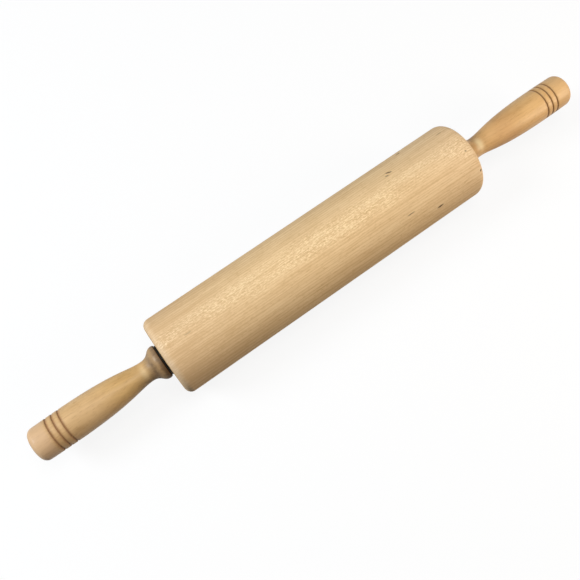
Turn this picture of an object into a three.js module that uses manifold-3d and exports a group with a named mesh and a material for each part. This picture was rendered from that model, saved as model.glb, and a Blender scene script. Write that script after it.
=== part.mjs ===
// Rolling pin whose barrel turns on two ball bearings: millimetres, +Z up, axle along X.
// The origin is on the worktop, under the middle of the barrel.
import * as THREE from "three";
import { mergeVertices, toCreasedNormals } from "three/addons/utils/BufferGeometryUtils.js";
import Module from "manifold-3d";

// Barrel
const barrelLength = 305;
const barrelDiameter = 68.7;
const barrelEdgeRadius = 9.2;
const bearingInset = 0.5; // bearing face below the end of the barrel
const reliefDepth = 1.5; // step behind each bearing that stays clear of its inner ring
const boreClearance = 1.2; // barrel bore to the thick middle of the rod

// Handles, measured from the collar face that looks at the barrel
const runningGap = 1.8; // barrel end to collar face
const handleLength = 117;
const collarFaceDiameter = 28.2;
const collarWidth = 7; // collar face to where the bead turns into the cove
const collarRootDiameter = 25.6; // there
const beadRise = 1.25; // how far the bead is drawn out past its face
const beadNose = 1.2; // how soon it is drawn out
const beadShoulder = 2.5; // how late it turns down
const coveLead = 2.2; // how far the cove keeps the slope that the bead ends in
const neckDiameter = 18.1;
const neckPlace = 15;
const neckCurveIn = 3.8; // how far the curves run on flat either side of the neck
const neckCurveOut = 13;
const gripDiameter = 29.4;
const gripCurve = 49; // how early the curve from the neck flattens into the grip
const gripWidestFromEnd = 32;
const gripTaper = 0.3; // radius lost between the widest point and the rounded end
const endRounding = 5.5;
const endFullness = 1.2; // how near the end the rounding keeps its width
const endDraw = 0.5; // radius lost by then
const endFaceDiameter = 18;
const endDome = 0.2;

// Burnt lines round each grip
const lineCount = 3;
const linePitch = 5.63;
const lastLineFromEnd = 18.4;
const lineWidth = 1.1;
const lineDepth = 0.6;

// Axle rod, and the threaded inserts that hold the handles on it
const rodDiameter = 11.6;
const rodShoulder = 1; // step that the inner rings sit against
const rodReach = 32; // full diameter inside each handle
const stubDiameter = 8;
const stubChamfer = 1;
const insertLength = 24;
const insertWall = 1.3;
const insertChamfer = 0.5;
const drillTip = 3; // cone at the bottom of the hole in each handle
const flangeDiameter = 27.2; // dust flange of each spacer washer

// Ball bearings
const ballDiameter = 4.762;
const ballCount = 8;
const ballClearance = 0.25;
const ringWall = 1.37; // steel left under each race
const raceDepth = 1.1;
const ringChamfer = 0.3;
const cageBack = 0.35; // cage left behind each ball
const cageLip = 1; // how far the cage reaches round the front of each ball
const shieldThickness = 0.42;
const shieldInset = 0.2;
const shieldSeat = 1; // ledge in the outer ring that holds a shield

// Fits
const fitGap = 0.2; // between pieces that are fixed together
const runClearance = 0.4; // between pieces that turn past each other

// Facets
const barrelSides = 48;
const handleSides = 28;
const metalSides = 24;
const edgeSteps = 5;
const beadSteps = 4;
const coveSteps = 4;
const swellSteps = 10;
const tailSteps = 4;
const raceSteps = 5;
const ballDetail = 1;
const pocketSides = 10;
const pocketRings = 8;

// Sizes that follow from the ones above
const axisHeight = barrelDiameter / 2;
const barrelEnd = barrelLength / 2;
const collarPlace = barrelEnd + runningGap;
const rodRadius = rodDiameter / 2;
const rodMiddle = rodRadius + rodShoulder;
const stubRadius = stubDiameter / 2;
const insertBore = stubRadius + fitGap;
const insertRadius = insertBore + insertWall;
const insertPlace = rodReach + fitGap;
const ballRadius = ballDiameter / 2;
const raceRadius = ballRadius + ballClearance;
const ringBore = rodRadius + fitGap;
const pitchRadius = ringBore + ringWall + raceRadius;
const ringOuter = pitchRadius + raceRadius + ringWall;
const innerShoulder = ringBore + ringWall + raceDepth;
const outerShoulder = ringOuter - ringWall - raceDepth;
const shieldRadius = outerShoulder + shieldSeat;
const bearingHalf = raceRadius + cageBack + runClearance + shieldThickness + shieldInset;
const bearingPlace = barrelEnd - bearingInset - bearingHalf;
const rodStep = bearingPlace - bearingHalf - fitGap;
const washerThickness = bearingInset + runningGap - 2 * fitGap;
const washerHub = bearingInset + runClearance - fitGap;

const wasm = await Module();
wasm.setup();

const at = (along, radius) => new THREE.Vector2(along, radius);

// Points of an arc about (along, radius), by angle from the direction of the axis.
function arc(along, radius, size, from, to, steps) {
  const curve = new THREE.EllipseCurve(along, radius, size, size, from, to, to < from);
  return curve.getPoints(steps);
}

// Corners merged, and the flat triangles that a lathe leaves on its axis dropped.
function welded(geometry) {
  geometry.deleteAttribute("normal");
  geometry.deleteAttribute("uv");
  const merged = mergeVertices(geometry);
  const corners = merged.index.array;
  const kept = [];
  for (let i = 0; i < corners.length; i += 3) {
    const [a, b, c] = corners.slice(i, i + 3);
    if (a !== b && b !== c && c !== a) kept.push(a, b, c);
  }
  return merged.setIndex(kept);
}

// Solid turned about X: the outline runs towards +X outside and back along the bore.
function turned(outline, sides) {
  const profile = outline.map((point) => at(point.y, point.x));
  const lathe = new THREE.LatheGeometry(profile, sides, Math.PI / sides);
  return welded(lathe.rotateZ(-Math.PI / 2));
}

// Ring turned about X, from a closed outline.
function ring(outline, sides) {
  return turned([...outline, outline[0]], sides);
}

function solid(geometry) {
  const shape = welded(geometry);
  const vertProperties = shape.attributes.position.array;
  const triVerts = new Uint32Array(shape.index.array);
  return new wasm.Manifold(new wasm.Mesh({ numProp: 3, vertProperties, triVerts }));
}

function geometryOf(shape) {
  const mesh = shape.getMesh();
  const geometry = new THREE.BufferGeometry();
  geometry.setAttribute("position", new THREE.BufferAttribute(mesh.vertProperties, 3));
  return geometry.setIndex(new THREE.BufferAttribute(mesh.triVerts, 1));
}

function piece(name, geometry, finish) {
  const creaseAngle = Math.PI / 6;
  const creased = toCreasedNormals(geometry, creaseAngle);
  const mesh = new THREE.Mesh(creased, new THREE.MeshStandardMaterial(finish));
  mesh.name = name;
  return mesh;
}

// Finishes
const barrelMaple = { color: 0xd9b98a, roughness: 0.55, metalness: 0 };
const handleMaple = { color: 0xd6ae78, roughness: 0.45, metalness: 0 };
const rodSteel = { color: 0xb4b6b8, roughness: 0.3, metalness: 1 };
const bearingSteel = { color: 0xc4c6c8, roughness: 0.18, metalness: 1 };
const shieldSteel = { color: 0xaeb0b2, roughness: 0.35, metalness: 1 };
const cagePolymer = { color: 0xe4ddc6, roughness: 0.5, metalness: 0 };
const insertBrass = { color: 0xc9a24d, roughness: 0.35, metalness: 1 };
const washerSteel = { color: 0x2b2a29, roughness: 0.5, metalness: 1 };

// Barrel with a stepped bearing pocket in each end. Its flats lie on the true round,
// so one of them is the face that it rests on.
function barrelGeometry() {
  const outer = barrelDiameter / 2 / Math.cos(Math.PI / barrelSides);
  const edge = outer - barrelEdgeRadius;
  const round = barrelEnd - barrelEdgeRadius;
  const bore = rodMiddle + boreClearance;
  const pocket = ringOuter + fitGap;
  const pocketFloor = bearingPlace - bearingHalf - fitGap;
  const reliefFloor = pocketFloor - reliefDepth;
  const inside = [
    at(barrelEnd, pocket),
    at(pocketFloor, pocket),
    at(pocketFloor, outerShoulder),
    at(reliefFloor, outerShoulder),
    at(reliefFloor, bore),
  ];
  const mirrored = inside.map((point) => at(-point.x, point.y)).reverse();
  return ring(
    [
      ...arc(-round, edge, barrelEdgeRadius, Math.PI, Math.PI / 2, edgeSteps),
      ...arc(round, edge, barrelEdgeRadius, Math.PI / 2, 0, edgeSteps),
      ...inside,
      ...mirrored,
    ],
    barrelSides,
  );
}

// Outside of a handle: bead, cove to the neck, long curve to the grip, burnt lines, rounded end.
function handleOutside() {
  const face = collarFaceDiameter / 2;
  const root = collarRootDiameter / 2;
  const crown = face + beadRise;
  const neck = neckDiameter / 2;
  const grip = gripDiameter / 2;
  const widest = handleLength - gripWidestFromEnd;
  const gripEnd = handleLength - endRounding;
  const endFace = handleLength - endDome;
  const bead = new THREE.CubicBezierCurve(
    at(0, face),
    at(beadNose, crown),
    at(collarWidth - beadShoulder, crown),
    at(collarWidth, root),
  );
  const slope = (crown - root) / beadShoulder;
  const cove = new THREE.CubicBezierCurve(
    at(collarWidth, root),
    at(collarWidth + coveLead, root - coveLead * slope),
    at(neckPlace - neckCurveIn, neck),
    at(neckPlace, neck),
  );
  const swell = new THREE.CubicBezierCurve(
    at(neckPlace, neck),
    at(neckPlace + neckCurveOut, neck),
    at(widest - gripCurve, grip),
    at(widest, grip),
  );
  const gripRadius = (along) => grip - gripTaper * ((along - widest) / (gripEnd - widest)) ** 2;
  const lines = [];
  for (let i = lineCount - 1; i >= 0; i -= 1) {
    const middle = handleLength - lastLineFromEnd - i * linePitch;
    const before = middle - lineWidth / 2;
    const after = middle + lineWidth / 2;
    lines.push(at(before, gripRadius(before)));
    lines.push(at(middle, gripRadius(middle) - lineDepth));
    lines.push(at(after, gripRadius(after)));
  }
  const tail = new THREE.QuadraticBezierCurve(
    at(gripEnd, gripRadius(gripEnd)),
    at(handleLength - endFullness, gripRadius(gripEnd) - endDraw),
    at(endFace, endFaceDiameter / 2),
  );
  return [
    ...bead.getPoints(beadSteps),
    ...cove.getPoints(coveSteps).slice(1),
    ...swell.getPoints(swellSteps).slice(1),
    ...lines,
    ...tail.getPoints(tailSteps),
    at(handleLength, 0),
  ];
}

// Handle with a stepped blind hole: the rod in its mouth, the insert further in.
function handleGeometry() {
  const mouth = rodRadius + fitGap;
  const pilot = insertRadius + fitGap;
  const pilotEnd = insertPlace + insertLength + fitGap;
  return turned(
    [
      at(pilotEnd + drillTip, 0),
      at(pilotEnd, pilot),
      at(insertPlace - fitGap / 2, pilot),
      at(insertPlace - fitGap / 2, mouth),
      at(0, mouth),
      ...handleOutside(),
    ],
    handleSides,
  );
}

// Rod, thick between the bearings, with a chamfered stub on each end.
function rodGeometry() {
  const fullEnd = collarPlace + rodReach;
  const tip = collarPlace + insertPlace + insertLength;
  const right = [
    at(rodStep, rodMiddle),
    at(rodStep, rodRadius),
    at(fullEnd, rodRadius),
    at(fullEnd, stubRadius),
    at(tip - stubChamfer, stubRadius),
    at(tip, stubRadius - stubChamfer),
    at(tip, 0),
  ];
  const left = right.map((point) => at(-point.x, point.y)).reverse();
  return turned([...left, ...right], metalSides);
}

// Threaded insert, from its mouth at X = 0.
function insertGeometry() {
  return ring(
    [
      at(0, insertBore + insertChamfer),
      at(0, insertRadius),
      at(insertLength, insertRadius),
      at(insertLength, insertBore),
      at(insertChamfer, insertBore),
    ],
    metalSides,
  );
}

// Spacer washer between an inner ring and a collar, from its bearing side at X = 0.
// Its flange runs clear of the barrel and keeps flour out of the bearing.
function washerGeometry() {
  const flange = flangeDiameter / 2;
  return ring(
    [
      at(0, ringBore),
      at(0, innerShoulder),
      at(washerHub, innerShoulder),
      at(washerHub, flange),
      at(washerThickness, flange),
      at(washerThickness, ringBore),
    ],
    metalSides,
  );
}

// Half the angle that a race takes up, seen from the middle of a ball.
const raceAngle = (shoulder) => Math.acos(Math.abs(pitchRadius - shoulder) / raceRadius);

function innerRingGeometry() {
  const half = raceAngle(innerShoulder);
  const down = (3 * Math.PI) / 2;
  return ring(
    [
      at(-bearingHalf, ringBore + ringChamfer),
      at(-bearingHalf, innerShoulder),
      ...arc(0, pitchRadius, raceRadius, down - half, down + half, raceSteps),
      at(bearingHalf, innerShoulder),
      at(bearingHalf, ringBore + ringChamfer),
      at(bearingHalf - ringChamfer, ringBore),
      at(ringChamfer - bearingHalf, ringBore),
    ],
    metalSides,
  );
}

function outerRingGeometry() {
  const half = raceAngle(outerShoulder);
  const up = Math.PI / 2;
  const seat = bearingHalf - shieldInset - shieldThickness - fitGap;
  return ring(
    [
      at(-bearingHalf, ringOuter - ringChamfer),
      at(ringChamfer - bearingHalf, ringOuter),
      at(bearingHalf - ringChamfer, ringOuter),
      at(bearingHalf, ringOuter - ringChamfer),
      at(bearingHalf, shieldRadius),
      at(seat, shieldRadius),
      at(seat, outerShoulder),
      ...arc(0, pitchRadius, raceRadius, up - half, up + half, raceSteps),
      at(-seat, outerShoulder),
      at(-seat, shieldRadius),
      at(-bearingHalf, shieldRadius),
    ],
    metalSides,
  );
}

// Shield, a thin washer whose inner half is pressed a little inwards. X = 0 is its outer face.
function shieldGeometry() {
  const inner = innerShoulder + runClearance;
  const outer = shieldRadius - fitGap;
  const bend = (inner + outer) / 2;
  const press = fitGap / 2;
  return ring(
    [
      at(-shieldThickness - press, inner),
      at(-shieldThickness, bend),
      at(-shieldThickness, outer),
      at(0, outer),
      at(0, bend),
      at(-press, inner),
    ],
    metalSides,
  );
}

const ballAngle = (index) => (2 * Math.PI * index) / ballCount;

// A point on the pitch circle of the balls.
function ballPlace(index) {
  const angle = ballAngle(index);
  return new THREE.Vector3(0, pitchRadius * Math.cos(angle), pitchRadius * Math.sin(angle));
}

// Crown cage: a ring with a round pocket for each ball, open on the side away from its back.
function cageGeometry() {
  const inner = innerShoulder + runClearance;
  const outer = outerShoulder - runClearance;
  const back = raceRadius + cageBack;
  const section = [at(-cageLip, inner), at(-cageLip, outer), at(back, outer), at(back, inner)];
  let cage = solid(ring(section, metalSides));
  for (let i = 0; i < ballCount; i += 1) {
    const pocket = new THREE.SphereGeometry(raceRadius, pocketSides, pocketRings);
    pocket.rotateX(ballAngle(i));
    const { x, y, z } = ballPlace(i);
    cage = cage.subtract(solid(pocket.translate(x, y, z)));
  }
  return geometryOf(cage);
}

// A bearing about its own middle, with the back of its cage towards +X.
function bearing(side) {
  const group = new THREE.Group();
  group.add(piece(`${side}_bearing_outer_ring`, outerRingGeometry(), bearingSteel));
  group.add(piece(`${side}_bearing_inner_ring`, innerRingGeometry(), bearingSteel));
  group.add(piece(`${side}_bearing_cage`, cageGeometry(), cagePolymer));
  for (let i = 0; i < ballCount; i += 1) {
    const ball = new THREE.IcosahedronGeometry(ballRadius, ballDetail);
    const mesh = piece(`${side}_bearing_ball_${i + 1}`, welded(ball), bearingSteel);
    mesh.position.copy(ballPlace(i));
    group.add(mesh);
  }
  const outerShield = piece(`${side}_bearing_outer_shield`, shieldGeometry(), shieldSteel);
  outerShield.position.x = bearingHalf - shieldInset;
  const innerShield = piece(`${side}_bearing_inner_shield`, shieldGeometry(), shieldSteel);
  innerShield.position.x = shieldInset - bearingHalf;
  innerShield.rotation.z = Math.PI;
  group.add(outerShield, innerShield);
  return group;
}

// All that sits on one end of the rod, laid out towards +X.
function endSet(side) {
  const group = new THREE.Group();
  const bearingGroup = bearing(side);
  bearingGroup.position.x = bearingPlace;
  const washer = piece(`${side}_spacer_washer`, washerGeometry(), washerSteel);
  washer.position.x = barrelEnd - bearingInset + fitGap;
  const handle = piece(`${side}_handle`, handleGeometry(), handleMaple);
  handle.position.x = collarPlace;
  const insert = piece(`${side}_threaded_insert`, insertGeometry(), insertBrass);
  insert.position.x = collarPlace + insertPlace;
  group.add(bearingGroup, washer, handle, insert);
  return group;
}

const rollingPin = new THREE.Group();
rollingPin.position.z = axisHeight;
rollingPin.add(piece("barrel", barrelGeometry(), barrelMaple));
rollingPin.add(piece("axle_rod", rodGeometry(), rodSteel));
rollingPin.add(endSet("right"));
const leftEnd = endSet("left");
leftEnd.rotation.z = Math.PI;
rollingPin.add(leftEnd);

export default rollingPin;
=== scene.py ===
# Rolling pin whose barrel turns on ball bearings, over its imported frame: metres, +Z up, axle along X.
import bmesh
import bpy
import math
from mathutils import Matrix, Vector


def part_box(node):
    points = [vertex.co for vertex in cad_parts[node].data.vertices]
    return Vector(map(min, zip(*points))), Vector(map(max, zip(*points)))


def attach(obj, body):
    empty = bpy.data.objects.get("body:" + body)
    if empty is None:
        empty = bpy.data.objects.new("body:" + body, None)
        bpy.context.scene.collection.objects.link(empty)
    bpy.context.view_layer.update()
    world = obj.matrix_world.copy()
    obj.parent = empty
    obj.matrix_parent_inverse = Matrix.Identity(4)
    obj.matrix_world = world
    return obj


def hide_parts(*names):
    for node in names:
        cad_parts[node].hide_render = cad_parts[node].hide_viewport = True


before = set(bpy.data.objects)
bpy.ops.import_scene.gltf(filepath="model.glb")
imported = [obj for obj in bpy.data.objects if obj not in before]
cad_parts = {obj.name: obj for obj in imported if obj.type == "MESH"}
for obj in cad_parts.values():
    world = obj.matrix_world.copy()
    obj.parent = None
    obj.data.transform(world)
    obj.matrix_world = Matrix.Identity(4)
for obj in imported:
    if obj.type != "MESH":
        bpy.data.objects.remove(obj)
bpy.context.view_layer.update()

mm = 0.001
sides = {"right": 1, "left": -1}

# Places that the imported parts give
barrelLow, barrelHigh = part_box("barrel")
handleLow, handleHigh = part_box("right_handle")
insertLow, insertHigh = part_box("right_threaded_insert")
washerLow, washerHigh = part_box("right_spacer_washer")
ringLow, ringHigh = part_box("right_bearing_outer_ring")
cageLow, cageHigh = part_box("right_bearing_cage")
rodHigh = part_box("axle_rod")[1]
axisHeight = (barrelLow.z + barrelHigh.z) / 2
barrelRadius = (barrelHigh.z - barrelLow.z) / 2
barrelEnd = barrelHigh.x
collarFace = handleLow.x
handleEnd = handleHigh.x
bearingMiddle = (ringLow.x + ringHigh.x) / 2
bearingHalf = (ringHigh.x - ringLow.x) / 2

# Camera
view = {
    "place": (-0.1398, -0.1532, 0.5983),
    "aim": (-0.0377, -0.0115, 0.03435),
    "lens": 44.62,
    "sensor": 36.0,
}


def setCamera():
    data = bpy.data.cameras.new("camera")
    data.lens = view["lens"]
    data.sensor_width = view["sensor"]
    camera = bpy.data.objects.new("camera", data)
    bpy.context.collection.objects.link(camera)
    camera.location = view["place"]
    towards = Vector(view["aim"]) - Vector(view["place"])
    camera.rotation_euler = towards.to_track_quat("-Z", "Y").to_euler()
    bpy.context.scene.camera = camera


# Light and floor
studio = {
    "lamps": {  # place, width, watts, tint
        "backLamp": ((-1.15, 0.60, 1.09), 0.7, 22.8, (0.93, 0.99, 1.05)),
        "frontLamp": ((0.65, -0.45, 0.32), 0.5, 3.6, (1.12, 0.99, 0.82)),
        "topLamp": ((0.05, 0.0, 1.3), 0.6, 6.4, (1.0, 1.0, 1.0)),
    },
    "ambient": 0.01,
    "floorSize": 6.0,
    "floorWhite": 0.88,  # floor's own white for the camera beside the object, where the lamps add the rest
    "whiteFrom": (0.4, 1.3),  # away from the lamps the floor is white by itself
    "floorShade": (0.11, 0.11, 0.11, 1.0),
    "floorRoughness": 0.9,
    "white": (1.0, 1.0, 1.0, 1.0),
}


def addLamp(name, place, size, power, tint):
    data = bpy.data.lights.new(name, "AREA")
    data.shape = "DISK"
    data.size = size
    data.energy = power
    data.color = tint
    lamp = bpy.data.objects.new(name, data)
    bpy.context.collection.objects.link(lamp)
    lamp.location = place
    lamp.rotation_euler = (-Vector(place)).to_track_quat("-Z", "Y").to_euler()  # aimed at the origin


def seenDirectly(tree):  # 1 for what the camera, a reflection or glass sees
    path = tree.nodes.new("ShaderNodeLightPath")
    seen = calc(tree, "MAXIMUM", path.outputs["Is Camera Ray"], path.outputs["Is Glossy Ray"])
    return calc(tree, "MAXIMUM", seen, path.outputs["Is Transmission Ray"])


def setStudio():
    world = bpy.data.worlds.new("studio")
    bpy.context.scene.world = world
    world.use_nodes = True
    tree = world.node_tree
    background = tree.nodes["Background"]
    background.inputs["Color"].default_value = studio["white"]
    strength = between(tree, seenDirectly(tree), studio["ambient"], 1.0)
    tree.links.new(strength, background.inputs["Strength"])
    for name, settings in studio["lamps"].items():
        addLamp(name, *settings)

    material, tree, shader = newMaterial("paleFloor")
    shader.inputs["Base Color"].default_value = studio["floorShade"]
    shader.inputs["Roughness"].default_value = studio["floorRoughness"]
    shader.inputs["Specular IOR Level"].default_value = 0.0
    shader.inputs["Emission Color"].default_value = studio["white"]
    x, y, z = parts(tree, objectPlace(tree))
    glow = smooth(tree, distance(tree, x, y), *studio["whiteFrom"], studio["floorWhite"], 1.0)
    tree.links.new(calc(tree, "MULTIPLY", glow, seenDirectly(tree)), shader.inputs["Emission Strength"])
    half = studio["floorSize"] / 2
    mesh = bpy.data.meshes.new("floor")
    corners = [(-half, -half, 0), (half, -half, 0), (half, half, 0), (-half, half, 0)]
    mesh.from_pydata(corners, [], [(0, 1, 2, 3)])
    mesh.materials.append(material)
    floor = bpy.data.objects.new("floor", mesh)
    bpy.context.collection.objects.link(floor)


# Node helpers
def feed(tree, socket, value):
    if isinstance(value, bpy.types.NodeSocket):
        tree.links.new(value, socket)
    elif value is not None:
        socket.default_value = value


def calc(tree, operation, *values):
    node = tree.nodes.new("ShaderNodeMath")
    node.operation = operation
    for socket, value in zip(node.inputs, values):
        feed(tree, socket, value)
    return node.outputs[0]


def between(tree, factor, low, high):  # low where the factor is 0, high where it is 1
    return calc(tree, "MULTIPLY_ADD", factor, high - low, low)


def apart(tree, value, middle):
    return calc(tree, "ABSOLUTE", calc(tree, "SUBTRACT", value, middle))


def distance(tree, first, second):  # from the line where both are 0
    squares = [calc(tree, "POWER", value, 2.0) for value in (first, second)]
    return calc(tree, "SQRT", calc(tree, "ADD", *squares))


def vector(tree, x, y, z):
    node = tree.nodes.new("ShaderNodeCombineXYZ")
    for socket, value in zip(node.inputs, (x, y, z)):
        feed(tree, socket, value)
    return node.outputs[0]


def parts(tree, value):
    node = tree.nodes.new("ShaderNodeSeparateXYZ")
    tree.links.new(value, node.inputs[0])
    return node.outputs


def smooth(tree, value, low, high, atLow=0.0, atHigh=1.0):
    node = tree.nodes.new("ShaderNodeMapRange")
    node.interpolation_type = "SMOOTHSTEP"
    for socket, given in zip(node.inputs, (value, low, high, atLow, atHigh)):
        feed(tree, socket, given)
    return node.outputs[0]


def noise(tree, place, detail=2.0, roughness=0.5, scale=1.0):
    node = tree.nodes.new("ShaderNodeTexNoise")
    node.inputs["Scale"].default_value = scale
    node.inputs["Detail"].default_value = detail
    node.inputs["Roughness"].default_value = roughness
    tree.links.new(place, node.inputs["Vector"])
    return node.outputs["Fac"]


def ramp(tree, value, stops):
    node = tree.nodes.new("ShaderNodeValToRGB")
    band = node.color_ramp
    for index, (place, colour) in enumerate(stops):
        stop = band.elements[index] if index < 2 else band.elements.new(place)
        stop.position = place
        stop.color = (*colour, 1.0)
    tree.links.new(value, node.inputs["Fac"])
    return node.outputs["Color"]


def levels(tree, value, stops):  # a ramp of plain values
    return ramp(tree, value, [(place, (level,) * 3) for place, level in stops])


def blend(tree, factor, first, second, kind="MIX"):
    node = tree.nodes.new("ShaderNodeMix")
    node.data_type = "RGBA"
    node.blend_type = kind
    for socket, value in zip((node.inputs[0], node.inputs[6], node.inputs[7]), (factor, first, second)):
        feed(tree, socket, (*value, 1.0) if isinstance(value, tuple) else value)
    return node.outputs[2]


def stain(tree, colour, tint, mask, share):
    return blend(tree, calc(tree, "MULTIPLY", mask, share), colour, tint)


def bump(tree, shader, height, strength, depth):
    node = tree.nodes.new("ShaderNodeBump")
    node.inputs["Strength"].default_value = strength
    node.inputs["Distance"].default_value = depth
    tree.links.new(height, node.inputs["Height"])
    tree.links.new(node.outputs["Normal"], shader.inputs["Normal"])


def newMaterial(name):
    material = bpy.data.materials.new(name)
    material.use_nodes = True
    tree = material.node_tree
    return material, tree, tree.nodes["Principled BSDF"]


def objectPlace(tree):
    return tree.nodes.new("ShaderNodeTexCoord").outputs["Object"]


def newGroup(name, inputs, outputs):
    tree = bpy.data.node_groups.new(name, "ShaderNodeTree")
    for title, kind in inputs.items():
        tree.interface.new_socket(title, in_out="INPUT", socket_type="NodeSocket" + kind)
    for title in outputs:
        tree.interface.new_socket(title, in_out="OUTPUT", socket_type="NodeSocketFloat")
    given = tree.nodes.new("NodeGroupInput").outputs
    made = tree.nodes.new("NodeGroupOutput").inputs
    return tree, given, made


def useGroup(tree, group, **values):
    node = tree.nodes.new("ShaderNodeGroup")
    node.node_tree = group
    for title, value in values.items():
        feed(tree, node.inputs[title], value)
    return node.outputs


# Shared effects
mapleGrain = {  # pairs are counts of features to the metre, along the grain and across it
    "lean": 0.012,  # the grain runs a little off the axle
    "sway": (5.0, 14.0),
    "fine": (45.0, 800.0),
    "broad": (12.0, 230.0),
    "pores": (240.0, 1100.0),
    "gather": (16.0, 45.0),  # where ray flecks come together
    "mottle": (55.0, 150.0),
    "tone": (9.0, 34.0),
    "rays": (430.0, 950.0, 500.0),  # along the grain, out from the pith and round it
    "seasons": (0.45, 1.5),  # how often the rings change width, and how much
    "growth": [(0.0, 0.0), (1.0, 0.0), (0.45, 0.06), (0.84, 0.75), (0.93, 1.0)],  # pale early, dark late wood
    "quartered": (0.42, 0.04, 0.10, 1.0),  # flecks fade where the surface is cut across the rays
}


def mapleFigure():  # growth rings about a pith along X, fibres, pores, ray flecks and changes of tone
    grain = mapleGrain
    tree, given, made = newGroup(
        "mapleFigure",
        {"Place": "Vector", "Pith": "Vector", "RingPitch": "Float", "Wander": "Float", "Seed": "Float"},
        ("Rings", "Fibre", "Pores", "Flecks", "Mottle", "Tone"),
    )
    x, y, z = parts(tree, given["Place"])
    pithY, pithZ = parts(tree, given["Pith"])[1:]
    y = calc(tree, "MULTIPLY_ADD", x, grain["lean"], y)
    shifted = calc(tree, "ADD", x, given["Seed"])

    def drawnOut(name):
        along, across = grain[name]
        counts = ((shifted, along), (y, across), (z, across))
        return vector(tree, *(calc(tree, "MULTIPLY", part, count) for part, count in counts))

    away = calc(tree, "SUBTRACT", y, pithY)
    above = calc(tree, "SUBTRACT", z, pithZ)
    reach = distance(tree, away, above)
    around = calc(tree, "MULTIPLY", calc(tree, "ARCTAN2", above, away), reach)

    sway = calc(tree, "SUBTRACT", noise(tree, drawnOut("sway"), 2.0), 0.5)
    ringPlace = calc(tree, "MULTIPLY_ADD", sway, given["Wander"], reach)
    ringPlace = calc(tree, "DIVIDE", ringPlace, given["RingPitch"])
    often, much = grain["seasons"]
    season = vector(tree, calc(tree, "MULTIPLY_ADD", ringPlace, often, given["Seed"]), 0.0, 0.0)
    uneven = calc(tree, "MULTIPLY_ADD", noise(tree, season, 1.0), much, ringPlace)
    tree.links.new(levels(tree, calc(tree, "FRACT", uneven), grain["growth"]), made["Rings"])

    fine = noise(tree, drawnOut("fine"), 3.0, 0.6)
    broad = noise(tree, drawnOut("broad"), 2.0)
    fibre = calc(tree, "MULTIPLY", calc(tree, "ADD", fine, broad), 0.5)
    tree.links.new(fibre, made["Fibre"])
    tree.links.new(smooth(tree, noise(tree, drawnOut("pores"), 1.0), 0.57, 0.72), made["Pores"])

    counts = zip((shifted, reach, around), grain["rays"])
    ray = vector(tree, *(calc(tree, "MULTIPLY", part, count) for part, count in counts))
    up = calc(tree, "SUBTRACT", z, axisHeight)
    facing = calc(tree, "ADD", calc(tree, "MULTIPLY", away, y), calc(tree, "MULTIPLY", above, up))
    facing = calc(tree, "DIVIDE", facing, calc(tree, "MULTIPLY", reach, distance(tree, y, up)))
    quartered = smooth(tree, calc(tree, "ABSOLUTE", facing), *grain["quartered"])
    zone = smooth(tree, noise(tree, drawnOut("gather"), 2.0), 0.40, 0.58, 0.30, 1.0)
    flecks = smooth(tree, noise(tree, ray, 1.0), 0.48, 0.64)
    tree.links.new(calc(tree, "MULTIPLY", flecks, calc(tree, "MULTIPLY", zone, quartered)), made["Flecks"])
    tree.links.new(noise(tree, drawnOut("mottle"), 2.0), made["Mottle"])
    tree.links.new(noise(tree, drawnOut("tone"), 3.0, 0.55), made["Tone"])
    return tree


def mineralStreak():  # one dark streak on a round, set by its place along X and round the axle
    sizes = ("Along", "Turn", "Radius", "Length", "Width", "Slant")
    inputs = {"Place": "Vector", **dict.fromkeys(sizes, "Float")}
    tree, given, made = newGroup("mineralStreak", inputs, ("Streak",))
    x, y, z = parts(tree, given["Place"])
    turn = calc(tree, "ARCTAN2", y, calc(tree, "SUBTRACT", z, axisHeight))
    along = calc(tree, "SUBTRACT", x, given["Along"])
    around = calc(tree, "MULTIPLY", calc(tree, "SUBTRACT", turn, given["Turn"]), given["Radius"])
    counts = ((x, 320.0), (y, 2200.0), (z, 2200.0))  # fibres to the metre
    fibres = vector(tree, *(calc(tree, "MULTIPLY", part, count) for part, count in counts))
    ragged = calc(tree, "SUBTRACT", noise(tree, fibres, 2.0, 0.6), 0.5)
    cosine = calc(tree, "COSINE", given["Slant"])
    sine = calc(tree, "SINE", given["Slant"])
    lengthwise = calc(tree, "MULTIPLY_ADD", along, cosine, calc(tree, "MULTIPLY", around, sine))
    across = calc(tree, "MULTIPLY", around, cosine)
    across = calc(tree, "SUBTRACT", across, calc(tree, "MULTIPLY", along, sine))
    far = calc(tree, "POWER", calc(tree, "DIVIDE", lengthwise, given["Length"]), 2.0)
    wide = calc(tree, "POWER", calc(tree, "DIVIDE", across, given["Width"]), 2.0)
    outside = calc(tree, "MULTIPLY_ADD", ragged, 1.8, calc(tree, "ADD", far, wide))
    tree.links.new(smooth(tree, outside, 1.15, 0.1), made["Streak"])
    return tree


def handling():  # soft patches where hands and flour have dulled the surface
    inputs = {"Place": "Vector", "Size": "Float", "Seed": "Float"}
    tree, given, made = newGroup("handling", inputs, ("Patches",))
    moved = tree.nodes.new("ShaderNodeVectorMath")
    moved.operation = "MULTIPLY_ADD"
    tree.links.new(given["Place"], moved.inputs[0])
    size = calc(tree, "DIVIDE", 1.0, given["Size"])
    tree.links.new(vector(tree, calc(tree, "MULTIPLY", size, 0.5), size, size), moved.inputs[1])
    tree.links.new(vector(tree, given["Seed"], 0.0, 0.0), moved.inputs[2])
    tree.links.new(smooth(tree, noise(tree, moved.outputs[0], 4.0, 0.55), 0.38, 0.68), made["Patches"])
    return tree


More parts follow.
